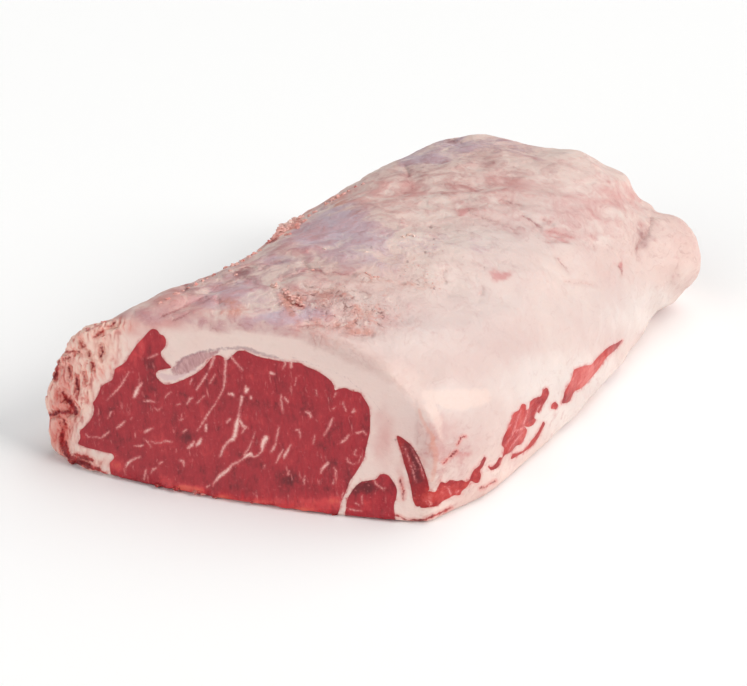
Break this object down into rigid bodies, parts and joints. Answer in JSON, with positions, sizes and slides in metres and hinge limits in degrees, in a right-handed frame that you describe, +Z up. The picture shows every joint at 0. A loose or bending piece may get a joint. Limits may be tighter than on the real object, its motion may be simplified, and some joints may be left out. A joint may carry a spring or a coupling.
{
  "type": "raw beef striploin",
  "caption": "Whole raw boneless beef striploin with its fat cap up, cut square at the near end to show the lean eye, resting flat on its lean underside.",
  "frame": {"origin": "the middle of the bounding box's bottom face, on the surface that the meat lies on", "axes": "+X to the right across the near cut face, towards the flank side, +Y from the near cut face to the far end, +Z up"},
  "size_m": [0.269, 0.4238, 0.0952],
  "materials": {
    "fat": "moist, soft cream and pink fat with a thin grey-lilac membrane",
    "lean": "wet knife-cut lean with white marbling",
    "flank_lean": "wet, bright red thin muscle"
  },
  "bodies": {
    "root": {"fat_cover": "fat", "eye_muscle": "lean", "side_muscle": "lean", "flank_muscle": "flank_lean"}
  },
  "joints": []
}
